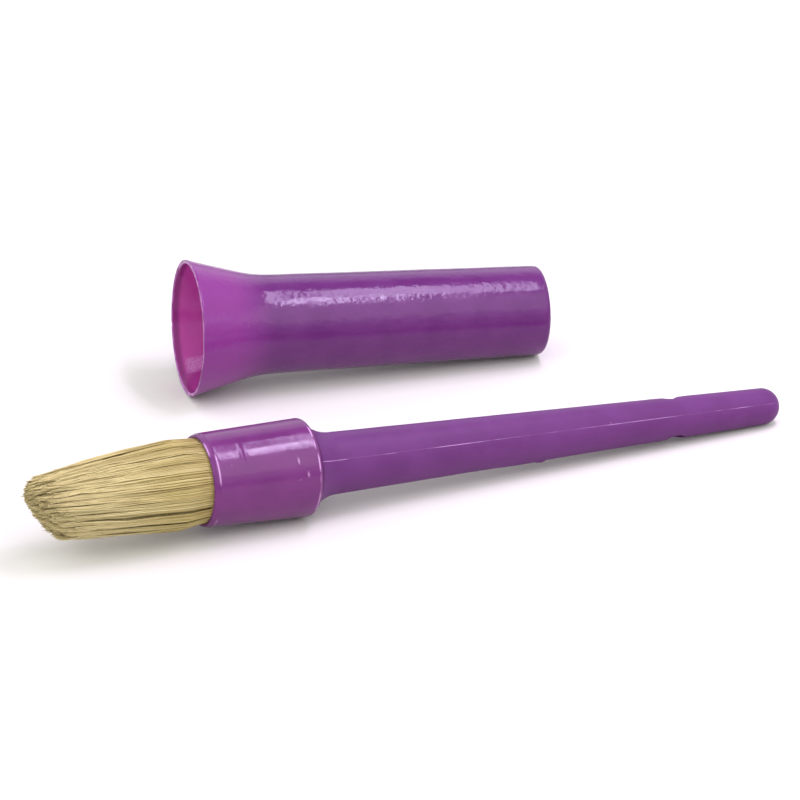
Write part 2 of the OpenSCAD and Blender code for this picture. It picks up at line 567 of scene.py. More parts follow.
@dataclass(frozen=True)
class CapPlastic(Plastic):
    """The cap's thin plastic: paler where it flares and deep pink inside, both brightened by painted light as if
    lit through the thin wall, with painted shade and a patch of painted light inside, and a painted highlight on
    its rim.
    """

    # Painted light: the thin flare is paler, as if lit through its wall.
    flared: Colour = (0.205, 0.031, 0.205)
    # The inner wall's pink: the plastic's own colour, made brighter with painted light shining through the wall.
    inside: Colour = (0.44, 0.048, 0.305)
    # Painted shade: the darker band inside the mouth and along the bottom of the inside.
    band: Colour = (0.24, 0.02, 0.17)
    # Painted light: a pale grainy patch low on the inside.
    lit_patch: Colour = (0.5, 0.2, 0.46)
    # Painted highlight: a broken pale line round the rim's edge.
    rim: Colour = (0.5, 0.18, 0.5)

    def colour(self, graph: Graph) -> Field:
        """The mottled colour under the flare's painted light, the inner wall's painted light and shade, and the
        rim's painted highlight.
        """
        base = super().colour(graph)
        # Painted light where the mouth flares.
        flared = graph.mix(attribute(graph, Mark.FLARE_LIGHT), base, self.flared)
        # The inside's colour, darkened by painted shade where the mesh marks it.
        deeper = graph.mix(attribute(graph, Mark.PAINTED_SHADE), self.inside, self.band)
        # Painted light: a pale patch, broken up by noise, low on the inner wall.
        grit = graph.fade(graph.grain(object_place(graph), 2.2, 3.0), 0.36, 0.64, 0.2, 0.9)
        lit_patch = graph.mix(attribute(graph, Mark.PATCH_LIGHT) * grit, deeper, self.lit_patch)
        inner = graph.mix(attribute(graph, Mark.INSIDE), flared, lit_patch)
        # Painted highlight along the rim's edge.
        return graph.mix(attribute(graph, Mark.RIM_HIGHLIGHT) * 0.85, inner, self.rim)


@dataclass(frozen=True)
class Bristle:
    """Natural bristle: each hair its own straw colour, paler towards its tip, and darker near its root with
    painted shade.
    """

    name: str
    pale: Colour
    straw: Colour
    brown: Colour
    tip: Colour

    def material(self) -> bpy.types.Material:
        """The finish, which reads each hair's tone and how far along it a point is."""
        graph, shader = open_material(self.name)
        tone = attribute(graph, Mark.TONE)
        reach = attribute(graph, Mark.REACH)
        place = object_place(graph)
        drift = graph.grain(place, 0.12, 2.0)
        patchy = tone * 0.75 + drift * 0.5
        straw = graph.mix(graph.fade(patchy, 0.2, 0.7), self.brown, self.straw)
        pale = graph.mix(graph.fade(patchy, 0.62, 1.1), straw, self.pale)
        tipped = graph.mix(graph.fade(reach, 0.25, 0.8, 0.0, 0.85), pale, self.tip)
        # Painted shade: hairs darker near their roots, where they leave the ferrule.
        root_shaded = graph.mix(graph.fade(reach, 0.05, 0.3, 0.35, 0.0), tipped, self.brown)
        fine = graph.grain(graph.vector("MULTIPLY", place, (0.3, 6.0, 6.0)), 1.0, 1.0)
        rough = graph.fade(fine, 0.3, 0.7, 0.45, 0.62)
        links = graph.tree.links
        links.new(root_shaded.socket, shader.inputs["Base Color"])
        links.new(rough.socket, shader.inputs["Roughness"])
        shader.inputs["IOR"].default_value = 1.45
        shader.inputs["Specular IOR Level"].default_value = 0.35
        return bpy.data.materials[self.name]


@dataclass(frozen=True)
class Grainy:
    """A hidden filler such as cast resin or turned wood: two colours in streaks or clouds."""

    name: str
    dark: Colour
    light: Colour
    stretch: tuple[float, float, float]
    roughness: float
    relief: float

    def material(self) -> bpy.types.Material:
        """The finish."""
        graph, shader = open_material(self.name)
        place = graph.vector("MULTIPLY", object_place(graph), self.stretch)
        grain = graph.grain(place, 0.5, 5.0)
        colour = graph.mix(graph.fade(grain, 0.3, 0.7), self.dark, self.light)
        rough = graph.fade(grain, 0.2, 0.8, self.roughness - 0.08, self.roughness + 0.08)
        bump = graph.node("ShaderNodeBump", {"Height": grain * self.relief, "Distance": MM, "Strength": 1.0})
        links = graph.tree.links
        links.new(colour.socket, shader.inputs["Base Color"])
        links.new(rough.socket, shader.inputs["Roughness"])
        links.new(bump.outputs["Normal"], shader.inputs["Normal"])
        return bpy.data.materials[self.name]


# The brush


@dataclass(frozen=True)
class Handle:
    """The solid moulded handle, its collar and spigot, its parting line and its hanging hole."""

    spine: Spine
    spigot_radius: float = 7.5
    snap_radius: float = 8.2
    snap_from: float = 25.95
    snap_to: float = 29.95
    collar_at: float = 36.4
    collar_radius: float = 13.4
    collar_edge: float = 0.4
    neck_radius: float = 9.8
    neck_curve: float = 12.5
    end_radius: float = 5.9
    end_at: float = 202.0
    hole_at: float = 164.0
    hole_radius: float = 2.8
    gate_at: float = 116.0
    gate_radius: float = 1.2
    seam_turns: tuple[float, float] = (90.0, 270.0)
    seam_height: float = 0.1
    finish: SeamedPlastic = SeamedPlastic(
        name="satin_violet",
        deep=(0.116, 0.0285, 0.136),
        bright=(0.132, 0.034, 0.158),
        scuffed=(0.3, 0.12, 0.33),
        gloss=0.4,
        dull=0.5,
        skin=0.012,
        lumps=0.02,
        shine=0.13,
        scatter=0.1,
    )
    marks: tuple[Bump, ...] = (
        Bump(131.5, 91, 0.22, 0.35, 0.35),
        Bump(74, 90, 0.2, 0.35, 0.35),
        Bump(79, 140, 0.12, 0.3, 0.3),
        Bump(47, 89, 0.12, 2.0, 0.4),
        Bump(58.5, 29, 0.1, 0.3, 0.3),
        Bump(100, 62, 0.06, 2.0, 0.3),
        Bump(193, 86, 0.12, 1.2, 0.3),
    )

    @property
    def neck_at(self) -> float:
        """Where the neck's curve meets the taper."""
        drop = self.neck_radius + self.neck_curve - self.collar_radius
        return self.collar_at + self.collar_edge + math.sqrt(self.neck_curve**2 - drop**2)

    def outline(self) -> list[Station]:
        """The half outline from the snap head's face to the tip of the handle."""
        neck = self.neck_at
        drop = self.neck_radius + self.neck_curve - self.collar_radius
        sweep = math.degrees(math.acos(drop / self.neck_curve))
        ball_at = self.end_at - self.end_radius
        curve = arc(neck, self.neck_radius + self.neck_curve, self.neck_curve, 180 + sweep, 180, 20)
        inner = [
            Station(self.snap_from, 0),
            Station(self.snap_from, self.spigot_radius - 0.3),
            Station(self.snap_from + 0.1, self.spigot_radius),
            Station(self.snap_to - 0.2, self.snap_radius),
            Station(self.snap_to, self.snap_radius - 0.1),
            Station(self.snap_to, self.spigot_radius),
            Station(self.collar_at - 0.2, self.spigot_radius),
            Station(self.collar_at, self.spigot_radius + 0.2),
            Station(self.collar_at, self.collar_radius - 0.3),
            Station(self.collar_at + 0.06, self.collar_radius - 0.06),
            Station(self.collar_at + 0.25, self.collar_radius),
        ]
        taper: list[Station] = []
        stops = [neck, self.hole_at - 7, self.hole_at + 7, ball_at]
        for start, stop, pitch in zip(stops, stops[1:], (0.8, 0.35, 0.8)):
            first, last = Station(start, self.radius(start)), Station(stop, self.radius(stop))
            taper += [*even(first, last, pitch), last]
        ball = arc(ball_at, 0, self.end_radius, 4, 86, 16)
        return [*inner, *curve, *taper, *ball, Station(self.end_at, 0)]

    def radius(self, at: float) -> float:
        """The taper's radius."""
        share = (at - self.neck_at) / (self.end_at - self.end_radius - self.neck_at)
        return self.neck_radius + (self.end_radius - self.neck_radius) * share

    def seam(self, station: Station, turn: float) -> float:
        """1 on the parting line and 0 off it, on the part that shows."""
        on_line = min(angle_gap(turn, t) for t in self.seam_turns) < 0.3
        return 1.0 if on_line and station.at > self.collar_at + 0.3 else 0.0

    def joint(self, station: Station, turn: float) -> float:
        """Painted shade along the collar's edge, in the crease where it meets the ferrule."""
        if station.radius < self.spigot_radius + 0.3:
            return 0.0
        return max(0.0, min(1.0, (self.collar_at + 0.9 - station.at) / 0.6))

    def relief(self, station: Station, turn: float) -> tuple[float, float]:
        """The flash, the hole's raised lips, the gate's stub and the marks."""
        if station.at <= self.collar_at + 0.3 or station.radius == 0:
            return 0.0, 0.0
        at, radius = station.at, station.radius
        place = self.spine.place(at, radius, math.radians(turn)) / MM
        raised = 0.035 * ripple(place, 9, 2)
        if self.seam(station, turn):
            raised += self.seam_height * max(0.0, 0.35 + 1.3 * ripple(Vector((at, turn, 0)), 5, 4))
        raised += sum(mark.height_at(at, turn, radius) for mark in self.marks)
        raised += self.hole_lip(at, turn, radius)
        stub = math.hypot(at - self.gate_at, math.radians(angle_gap(turn, 180)) * radius)
        raised += 0.4 * max(0.0, min(1.0, (self.gate_radius + 0.3 - stub) / 0.4))
        sink = Bump(self.gate_at - 7, 180, 0.25, 8, 2.5)
        raised += sink.height_at(at, turn, radius)
        return raised, 0.0

    def hole_lip(self, at: float, turn: float, radius: float) -> float:
        """The uneven rim that the hole's pin left round both its ends."""
        nearest = min(angle_gap(turn, 0), angle_gap(turn, 180))
        if nearest > 80:
            return 0.0
        across = radius * math.sin(math.radians(nearest))
        away = math.hypot(at - self.hole_at, across) - self.hole_radius
        lip = 0.3 * math.exp(-(((away - 0.5) / 0.55) ** 2))
        dip = -0.45 * math.exp(-((max(away, -1.5) / 1.1) ** 2))
        uneven = 0.75 + 0.5 * ripple(Vector((at, turn / 12, 0)), 1.5, 7)
        return (lip + dip) * uneven

    def build(self) -> bpy.types.Object:
        """Turns the handle and bores its hole."""
        fine = (0.9, 2.2)
        turns = columns(132, self.seam_turns, fine)
        # The second mark lays painted shade into the crease at the collar's edge.
        marks = {Mark.SEAM: self.seam, Mark.PAINTED_SHADE: self.joint}
        piece = turned("handle_moulding", self.spine, self.outline(), turns, self.relief, marks)
        self.bore(piece)
        piece.data.materials.clear()
        piece.data.materials.append(self.finish.material())
        return piece

    def bore(self, piece: bpy.types.Object) -> None:
        """Cuts the hanging hole through the handle."""
        pin = bmesh.new()
        out, along = self.spine.up, self.spine.along
        middle = self.spine.mouth + along * self.hole_at * MM
        reach = (self.neck_radius + 2) * MM
        rings = []
        for side in (-reach, reach):
            ring = []
            for i in range(48):
                a = 2 * math.pi * i / 48
                spoke = along * math.cos(a) + self.spine.side * math.sin(a)
                ring.append(pin.verts.new(middle + out * side + spoke * self.hole_radius * MM))
            rings.append(ring)
        low, high = rings
        for i in range(48):
            pin.faces.new((low[i], low[(i + 1) % 48], high[(i + 1) % 48], high[i]))
        pin.faces.new(low)
        pin.faces.new(high)
        bmesh.ops.recalc_face_normals(pin, faces=pin.faces)
        mesh = bpy.data.meshes.new("hole_pin")
        pin.to_mesh(mesh)
        pin.free()
        cutter = bpy.data.objects.new("hole_pin", mesh)
        bpy.context.scene.collection.objects.link(cutter)
        cut = piece.modifiers.new("hole", "BOOLEAN")
        cut.operation, cut.solver, cut.object = "DIFFERENCE", "EXACT", cutter
        bored = frozen(piece)
        piece.modifiers.clear()
        piece.data = bored
        bpy.data.objects.remove(cutter)
        bored.name = piece.name
        bored.shade_smooth()
        bored.set_sharp_from_angle(angle=math.radians(40))


@dataclass(frozen=True)
class Ferrule:
    """The glossy round ferrule that holds the bristles and snaps onto the handle."""

    spine: Spine
    mouth_radius: float = 14.7
    shoulder_radius: float = 15.5
    side_length: float = 34.5
    shoulder_bend: float = 1.9
    pocket_radius: float = 13.3
    pocket_depth: float = 30.0
    bore_radius: float = 7.55
    rim_width: float = 1.7
    finish: SeamedPlastic = SeamedPlastic(
        name="glossy_violet",
        deep=(0.13, 0.0225, 0.13),
        bright=(0.152, 0.027, 0.15),
        scuffed=(0.4, 0.2, 0.42),
        gloss=0.13,
        dull=0.22,
        skin=0.006,
        lumps=0.035,
        shine=0.27,
        scatter=0.1,
        # Painted highlight colour for the ferrule's edges.
        flash=(0.85, 0.5, 0.88),
        broken=(0.35, 0.5),
    )
    # Painted highlights along the lip's edges and the back shoulder's edge, and two pale scratches on the side.
    highlights_and_scratches: tuple[HighlightAndScratch, ...] = (
        HighlightAndScratch(0.2, 40, 66, 0.9),
        HighlightAndScratch(1.9, 62, 104, 1.0),
        HighlightAndScratch(1.9, 150, 170, 0.5),
        HighlightAndScratch(0.2, 215, 250, 0.8),
        HighlightAndScratch(1.9, 270, 330, 0.7),
        HighlightAndScratch(34.9, 40, 60, 1.0),
        HighlightAndScratch(34.7, 60, 76, 0.8),
        HighlightAndScratch(35.0, 79, 103, 1.0),
        HighlightAndScratch(35.0, 103, 160, 0.55),
        HighlightAndScratch(35.4, 200, 235, 0.7),
        HighlightAndScratch(35.0, 290, 340, 0.8),
        HighlightAndScratch(28.2, 81, 91, 1.0, 0.15),
        HighlightAndScratch(31.0, 99, 107, 1.0, 0.25),
    )
    marks: tuple[Bump, ...] = (
        Bump(10.5, 70, -0.16, 0.5, 3.2),
        Bump(11.6, 72, 0.09, 0.35, 3.0),
        Bump(27.5, 82, 0.1, 0.3, 1.6),
        Bump(28.3, 88, 0.1, 0.3, 1.2),
        Bump(31, 103, 0.1, 0.35, 0.35),
        Bump(25, 135, 0.06, 1.4, 0.5),
        Bump(31.5, 82, 0.06, 0.5, 1.4),
    )

    def outline(self) -> list[Station]:
        """The outline round the ferrule's wall, from its mouth over its outside and back."""
        rim = self.rim_width
        side = [
            Station(0.0, self.pocket_radius + 0.45),
            Station(0.0, self.mouth_radius - 0.75),
            Station(0.05, self.mouth_radius - 0.6),
            Station(0.2, self.mouth_radius - 0.42),
            Station(0.5, self.mouth_radius - 0.28),
            Station(rim - 0.35, self.mouth_radius - 0.1),
            Station(rim - 0.1, self.mouth_radius - 0.02),
            Station(rim + 0.1, self.side_radius(rim) + 0.07),
            Station(rim + 0.35, self.side_radius(rim) + 0.07),
            Station(rim + 0.6, self.side_radius(rim + 0.6) + 0.01),
        ]
        start, stop = side[-1], Station(self.side_length, self.shoulder_radius)
        side += [*even(start, stop, 0.45), stop]
        flat = self.shoulder_radius - self.shoulder_bend
        shoulder = arc(self.side_length, flat, self.shoulder_bend, 6, 84, 18)
        back = self.side_length + self.shoulder_bend
        inner = [
            Station(back, self.bore_radius + 0.2),
            Station(back - 0.2, self.bore_radius),
            Station(self.pocket_depth + 0.1, self.bore_radius),
            Station(self.pocket_depth, self.bore_radius + 0.1),
            Station(self.pocket_depth, self.pocket_radius - 0.3),
            Station(self.pocket_depth - 0.3, self.pocket_radius),
            Station(0.45, self.pocket_radius),
            Station(0.15, self.pocket_radius + 0.15),
        ]
        return [*side, *shoulder, Station(back, flat), *inner]

    def side_radius(self, at: float) -> float:
        """The side's radius at a distance from the mouth."""
        return self.mouth_radius + (self.shoulder_radius - self.mouth_radius) * at / self.side_length

    def relief(self, station: Station, turn: float) -> tuple[float, float]:
        """Sinks and lumps on the outside, the small marks, and low ridges of flash where the edges carry painted
        highlights.
        """
        at, radius = station.at, station.radius
        if radius < self.pocket_radius + 0.5 and at < self.pocket_depth + 1:
            return 0.0, 0.0
        place = self.spine.place(at, radius, math.radians(turn)) / MM
        raised = 0.03 * ripple(place, 11, 5) + 0.012 * ripple(place, 4, 9)
        raised += sum(mark.height_at(at, turn, radius) for mark in self.marks)
        raised += 0.12 * self.highlight_and_scratch(station, turn) * max(0.0, 0.4 + ripple(place, 1.6, 3))
        return raised, 0.0

    def highlight_and_scratch(self, station: Station, turn: float) -> float:
        """How strong the painted edge highlights and pale scratches are at a point."""
        if station.radius < self.pocket_radius + 0.45:
            return 0.0
        return max(rub.strength_at(station.at, turn) for rub in self.highlights_and_scratches)

    def build(self) -> bpy.types.Object:
        """Turns the ferrule."""
        # The pale-line mark carries the painted edge highlights.
        marks = {Mark.SEAM: self.highlight_and_scratch}
        piece = turned("ferrule_shell", self.spine, self.outline(), columns(220), self.relief, marks)
        piece.data.materials.append(self.finish.material())
        return piece


@dataclass(frozen=True)
class Layer:
    """One ring of bristles: its name, how much of the tuft's radius it covers, and its count."""

    name: str
    from_share: float
    to_share: float
    count: int
    seed: int


@dataclass(frozen=True)
class Tuft:
    """The bristles that show, grown hair by hair out of the ferrule's mouth.

    Hairs gather into locks, lean in towards the tip, and end on an oblique dome.
    """

    spine: Spine
    length: float = 57.5
    root_depth: float = 5.0
    root_radius: float = 12.95
    belly_radius: float = 14.15
    hair_radius: float = 0.15
    lean: float = 0.34
    lean_skew: float = 0.18
    lean_turn: float = -7.0
    cut_above: float = 11.0
    cut_below: float = 5.0
    lock_size: float = 8.0
    wisp_size: float = 1.7
    layers: tuple[Layer, ...] = (
        Layer("bristles_outer", 0.8, 1.0, 3600, 11),
        Layer("bristles_middle", 0.5, 0.8, 3500, 23),
        Layer("bristles_heart", 0.0, 0.5, 1900, 37),
    )
    finish: Bristle = Bristle(
        name="straw_bristle",
        pale=(0.57, 0.48, 0.24),
        straw=(0.5, 0.405, 0.155),
        brown=(0.31, 0.21, 0.065),
        tip=(0.62, 0.52, 0.26),
    )

    PARTING_PULL = 0.16
    SWAY = 1.2
    WISP_SWAY = 2.2
    STRAY_FRIZZ = 2.6
    INPUTS = (
        ("Hairs", "NodeSocketInt"),
        ("Seed", "NodeSocketInt"),
        ("From share", "NodeSocketFloat"),
        ("To share", "NodeSocketFloat"),
        ("Length", "NodeSocketFloat"),
        ("Root radius", "NodeSocketFloat"),
        ("Belly radius", "NodeSocketFloat"),
        ("Root depth", "NodeSocketFloat"),
        ("Hair radius", "NodeSocketFloat"),
        ("Lean", "NodeSocketFloat"),
        ("Lean skew", "NodeSocketFloat"),
        ("Cut above", "NodeSocketFloat"),
        ("Cut below", "NodeSocketFloat"),
        ("Lock size", "NodeSocketFloat"),
        ("Wisp size", "NodeSocketFloat"),
        ("Mouth", "NodeSocketVector"),
        ("Along", "NodeSocketVector"),
        ("Up", "NodeSocketVector"),
        ("Side", "NodeSocketVector"),
        ("Finish", "NodeSocketMaterial"),
    )

    def tree(self) -> bpy.types.NodeTree:
        """The Geometry Nodes tree that grows one layer of bristles."""
        tree = bpy.data.node_groups.new("grow_bristles", "GeometryNodeTree")
        for name, kind in self.INPUTS:
            tree.interface.new_socket(name, in_out="INPUT", socket_type=kind)
        tree.interface.new_socket("Geometry", in_out="OUTPUT", socket_type="NodeSocketGeometry")
        graph = Graph(tree)
        given = graph.node("NodeGroupInput")
        taken = {name: graph.out(given, name) for name, _ in self.INPUTS}
        hairs = self.plant(graph, taken)
        combed = self.comb(graph, taken, hairs)
        done = graph.node("GeometryNodeRealizeInstances", {"Geometry": combed})
        dressed = graph.node(
            "GeometryNodeSetMaterial", {"Geometry": graph.out(done, "Geometry"), "Material": taken["Finish"]}
        )
        end = graph.node("NodeGroupOutput")
        tree.links.new(dressed.outputs["Geometry"], end.inputs["Geometry"])
        return tree

    @staticmethod
    def chance(graph: Graph, seed: Field, offset: int, low: float, high: float) -> Field:
        """A random number for each hair."""
        feeds = {"Min": low, "Max": high, "Seed": seed + float(offset)}
        return graph.out(graph.node("FunctionNodeRandomValue", feeds, data_type="FLOAT"), "Value")

    @staticmethod
    def keep(graph: Graph, geometry: Field, name: str, value: Field, kind: str) -> Field:
        """Stores a value at the geometry's points."""
        feeds = {"Geometry": geometry, "Name": name, "Value": value}
        made = graph.node("GeometryNodeStoreNamedAttribute", feeds, data_type=kind, domain="POINT")
        return graph.out(made, "Geometry")

    @staticmethod
    def recall(graph: Graph, name: str, kind: str) -> Field:
        """Reads a value stored at the points."""
        made = graph.node("GeometryNodeInputNamedAttribute", {"Name": name}, data_type=kind)
        return graph.out(made, "Attribute")

    def plant(self, graph: Graph, taken: Mapping[str, Field]) -> Field:
        """Puts one straight hair for each root at the origin, with its root kept on it.

        Args:
            graph: The tree's graph.
            taken: The tree's inputs by name.

        Returns:
            The real mesh of all hairs. X runs from 0 at the root to 1 at the tip.
        """
        index = graph.out(graph.node("GeometryNodeInputIndex"), "Index")
        share = (index + 0.5) / taken["Hairs"]
        inner, outer = taken["From share"] ** 2.0, taken["To share"] ** 2.0
        radius = graph.math("SQRT", inner + (outer - inner) * share)
        turn = index * GOLDEN_TURN
        seed = taken["Seed"]
        y = radius * graph.math("COSINE", turn) + self.chance(graph, seed, 1, -0.012, 0.012)
        z = radius * graph.math("SINE", turn) + self.chance(graph, seed, 2, -0.012, 0.012)
        root = graph.xyz(self.chance(graph, seed, 3, 0.0, 1.0), y, z)
        points = graph.out(graph.node("GeometryNodePoints", {"Count": taken["Hairs"]}), "Points")
        points = self.keep(graph, points, "root", root, "FLOAT_VECTOR")
        points = self.keep(graph, points, Mark.TONE.value, self.chance(graph, seed, 4, 0.0, 1.0), "FLOAT")
        points = self.keep(graph, points, "stray", self.chance(graph, seed, 5, 0.0, 1.0), "FLOAT")
        line = graph.node("GeometryNodeCurvePrimitiveLine", {"Start": (0, 0, 0), "End": (1, 0, 0)})
        bent = graph.node("GeometryNodeResampleCurve", {"Curve": graph.out(line, "Curve"), "Count": 9})
        ring = graph.node("GeometryNodeCurvePrimitiveCircle", {"Resolution": 3, "Radius": 1.0})
        hair = graph.node(
            "GeometryNodeCurveToMesh",
            {
                "Curve": graph.out(bent, "Curve"),
                "Profile Curve": graph.out(ring, "Curve"),
                "Fill Caps": True,
            },
        )
        feeds = {"Points": points, "Instance": graph.out(hair, "Mesh")}
        made = graph.node("GeometryNodeInstanceOnPoints", feeds)
        real = graph.node("GeometryNodeRealizeInstances", {"Geometry": graph.out(made, "Instances")})
        return graph.out(real, "Geometry")

    def comb(self, graph: Graph, taken: Mapping[str, Field], hairs: Field) -> Field:
        """Lays the straight hairs along the tuft.

        Args:
            graph: The tree's graph.
            taken: The tree's inputs by name.
            hairs: The hairs at the origin.

        Returns:
            The hairs in the row frame.
        """
        reach, ring_y, ring_z = graph.parts(graph.out(graph.node("GeometryNodeInputPosition"), "Position"))
        luck, root_y, root_z = graph.parts(self.recall(graph, "root", "FLOAT_VECTOR"))
        tone = self.recall(graph, Mark.TONE.value, "FLOAT")
        stray = self.recall(graph, "stray", "FLOAT")
        from_axis = graph.math("MINIMUM", graph.vector("LENGTH", graph.xyz(0.0, root_y, root_z)), 1.0)

        # Each hair belongs to a wisp and to a lock, which has luck of its own
        flat = graph.xyz(root_y, root_z, 0.0)
        wisp_y, wisp_z, wisp_luck, wisp_tone, _ = self.gather(graph, flat, taken["Wisp size"], taken)
        lock_y, lock_z, _, _, to_edge = self.gather(graph, flat, taken["Lock size"], taken)

        # How far each hair goes: to a slanting dome, give or take
        off_tip = root_z - 0.35
        above, below = graph.math("MAXIMUM", off_tip, 0.0), graph.math("MINIMUM", off_tip, 0.0)
        wild = graph.fade(stray, 0.96, 1.0)
        end = taken["Length"] - above * above * taken["Cut above"] - below * below * taken["Cut below"]
        end = end - root_y * root_y * 6.0 - wisp_luck * wisp_luck * 6.0 * from_axis
        end = end + (luck - 1.0) * 2.6 + wild * 1.0
        at = (end + taken["Root depth"]) * reach - taken["Root depth"]
        far = graph.math("MAXIMUM", at / taken["Length"], 0.0)

        # Hairs draw away from the partings between locks and gather towards their wisp's middle
        parting = graph.math("EXPONENT", to_edge * -16.0) * graph.fade(at, -3.0, 4.0, 0.2, 1.0)
        broken = graph.grain(graph.xyz(root_y * 2.2, root_z * 2.2, at * 0.05), 1.0, 1.0)
        parting = parting * graph.fade(at, 34.0, 50.0, 1.0, 0.2) * graph.fade(broken, 0.4, 0.6, 0.1, 1.0)
        wisp_pull = graph.fade(at, 0.0, 50.0, 0.06, 0.3)
        y = root_y + (lock_y - root_y) * parting * self.PARTING_PULL + (wisp_y - root_y) * wisp_pull
        z = root_z + (lock_z - root_z) * parting * self.PARTING_PULL + (wisp_z - root_z) * wisp_pull

        # The tuft swells out of the ferrule, then leans in, more from above than from below
        swell = graph.fade(at, -1.5, 8.0)
        radius = taken["Root radius"] + (taken["Belly radius"] - taken["Root radius"]) * swell
        lean = taken["Lean"] + taken["Lean skew"] * z
        closing = 1.0 - lean * far ** 1.5
        y, z = y * radius * closing, z * radius * closing

        # Each hair wanders, and so does each part of the tuft
        wander = graph.xyz(root_y * 3.0, root_z * 3.0, at * 0.045)
        slow = self.swing(graph, wander)
        own = self.swing(graph, graph.xyz(tone * 90.0, luck * 90.0, at * 0.12))
        shared = self.swing(graph, graph.xyz(wisp_tone * 70.0, wisp_luck * 70.0, at * 0.05))
        loose = graph.fade(at, 0.0, 40.0)
        sway = loose * self.SWAY
        frizz = loose * (1.0 + wild * self.STRAY_FRIZZ)
        y = y + slow[0] * sway + own[0] * frizz + shared[0] * loose * self.WISP_SWAY
        z = z + slow[1] * sway + own[1] * frizz + shared[1] * loose * self.WISP_SWAY

        thin = taken["Hair radius"] * (1.0 - reach**4.0 * 0.45) * (0.8 + tone * 0.45)
        side = graph.vector("SCALE", taken["Side"], scale=y + ring_y * thin)
        up = graph.vector("SCALE", taken["Up"], scale=z + ring_z * thin)
        back = graph.vector("SCALE", taken["Along"], scale=at * -1.0)
        offset = graph.vector("ADD", graph.vector("ADD", side, up), back)
        place = graph.vector("ADD", taken["Mouth"], graph.vector("SCALE", offset, scale=MM))
        mixed = tone * 0.55 + wisp_tone * 0.45
        kept = self.keep(graph, hairs, Mark.REACH.value, reach, "FLOAT")
        kept = self.keep(graph, kept, "mixed", mixed, "FLOAT")
        moved = graph.node("GeometryNodeSetPosition", {"Geometry": kept, "Position": place})
        smooth = graph.node("GeometryNodeSetShadeSmooth", {"Geometry": graph.out(moved, "Geometry")})
        toned = graph.out(smooth, "Geometry")
        bare = self.keep(graph, toned, Mark.TONE.value, self.recall(graph, "mixed", "FLOAT"), "FLOAT")
        for name in ("root", "stray", "mixed"):
            gone = graph.node("GeometryNodeRemoveAttribute", {"Geometry": bare, "Name": name})
            bare = graph.out(gone, "Geometry")
        return bare

    @staticmethod
    def gather(graph: Graph, flat: Field, size: Field, taken: Mapping[str, Field]) -> tuple[Field, ...]:
        """Sorts roots into cells.

        Args:
            graph: The tree's graph.
            flat: The root's place, as a share of the tuft's radius.
            size: How wide a cell is.
            taken: The tree's inputs by name.

        Returns:
            The cell's middle, two random numbers of its own, and the way to its edge.
        """
        feeds = {"Vector": flat, "Scale": taken["Belly radius"] / size}
        cells = graph.node("ShaderNodeTexVoronoi", feeds, voronoi_dimensions="2D")
        edges = graph.node(
            "ShaderNodeTexVoronoi", feeds, voronoi_dimensions="2D", feature="DISTANCE_TO_EDGE"
        )
        y, z, _ = graph.parts(graph.out(cells, "Position"))
        luck, tone, _ = graph.parts(graph.out(cells, "Color"))
        return y, z, luck, tone, graph.out(edges, "Distance")

    @staticmethod
    def swing(graph: Graph, place: Field) -> tuple[Field, Field]:
        """Two smooth wanderings from about -0.5 to 0.5."""
        red, green, _ = graph.parts(graph.grain(place, 1.0, 1.0, "Color"))
        return red - 0.5, green - 0.5

    def build(self) -> list[bpy.types.Object]:
        """Grows every layer and turns it into a plain mesh."""
        tree = self.tree()
        names = {i.name: i.identifier for i in tree.interface.items_tree if i.in_out == "INPUT"}
        finish = self.finish.material()
        skew = math.radians(self.lean_turn)
        up = self.spine.up * math.cos(skew) + self.spine.side * math.sin(skew)
        shared = {
            "Length": self.length,
            "Root radius": self.root_radius,
            "Belly radius": self.belly_radius,
            "Root depth": self.root_depth,
            "Hair radius": self.hair_radius,
            "Lean": self.lean,
            "Lean skew": self.lean_skew,
            "Cut above": self.cut_above,
            "Cut below": self.cut_below,
            "Lock size": self.lock_size,
            "Wisp size": self.wisp_size,
            "Mouth": self.spine.mouth[:],
            "Along": self.spine.along[:],
            "Up": up[:],
            "Side": self.spine.along.cross(up)[:],
            "Finish": finish,
        }
        pieces = []
        for layer in self.layers:
            piece = bpy.data.objects.new(layer.name, bpy.data.meshes.new(layer.name))
            bpy.context.scene.collection.objects.link(piece)
            grow = piece.modifiers.new("grow", "NODES")
            grow.node_group = tree
            own = {
                "Hairs": layer.count,
                "Seed": layer.seed,
                "From share": layer.from_share,
                "To share": layer.to_share,
            }
            for name, value in {**shared, **own}.items():
                grow[names[name]] = value
            grown = frozen(piece)
            piece.modifiers.clear()
            piece.data = grown
            grown.name = layer.name
            pieces.append(piece)
        return pieces

    def attach(self, pieces: Sequence[bpy.types.Object]) -> None:
        """Bakes each layer's place into its mesh, and hides the imported tuft that the first layer stands in for.
        """
        end = self.spine.place(-0.7 * self.length, 0, 0)
        for i, piece in enumerate(pieces):
            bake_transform(piece)
            hand_over(piece, "bristle", *(("bristle_tuft",) if i == 0 else ()))


# The cap


